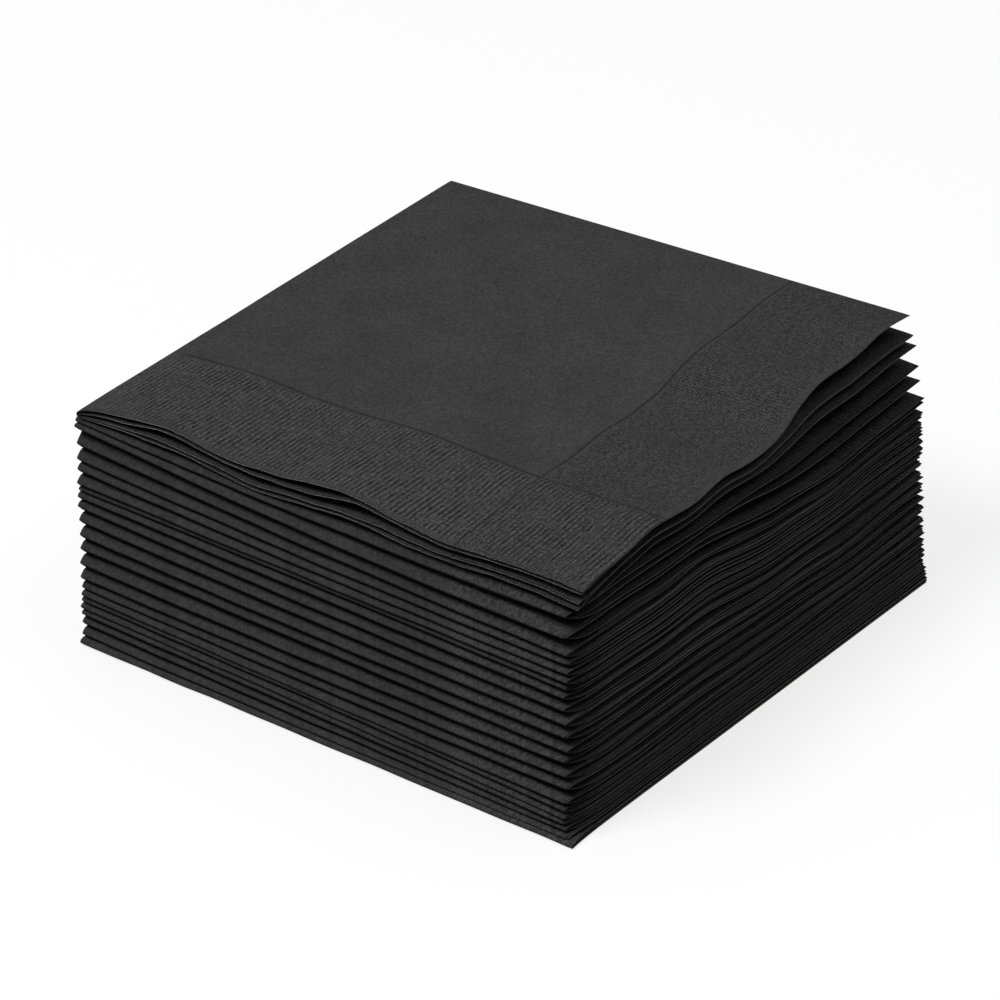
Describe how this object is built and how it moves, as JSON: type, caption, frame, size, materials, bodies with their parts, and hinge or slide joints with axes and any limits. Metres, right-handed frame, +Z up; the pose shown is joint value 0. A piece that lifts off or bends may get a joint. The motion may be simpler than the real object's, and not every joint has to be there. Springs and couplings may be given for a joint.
{
  "type": "stack of paper napkins",
  "caption": "Square pile of black paper napkins, each folded twice, with nested folds on one side, wavy free edges and an embossed border.",
  "frame": {"origin": "centre of the pile's square footprint, on the surface it rests on", "axes": "+Z up through the pile; -Y is the side with the outer folds of the pile, +X the side with the fanned free edges; the right corner at +X +Y is the lifted one"},
  "size_m": [0.1296, 0.1276, 0.0659],
  "materials": {
    "black_tissue": "matte, dyed through, embossed border"
  },
  "bodies": {
    "root": {"napkin_01": "black_tissue", "napkin_02": "black_tissue", "napkin_03": "black_tissue", "napkin_04": "black_tissue", "napkin_05": "black_tissue", "napkin_06": "black_tissue", "napkin_07": "black_tissue", "napkin_08": "black_tissue", "napkin_09": "black_tissue", "napkin_10": "black_tissue", "napkin_11": "black_tissue", "napkin_12": "black_tissue", "napkin_13": "black_tissue", "napkin_14": "black_tissue", "napkin_15": "black_tissue", "napkin_16": "black_tissue", "napkin_17": "black_tissue", "napkin_18": "black_tissue", "napkin_19": "black_tissue", "napkin_20": "black_tissue", "napkin_21": "black_tissue", "napkin_22": "black_tissue", "napkin_23": "black_tissue"}
  },
  "joints": []
}
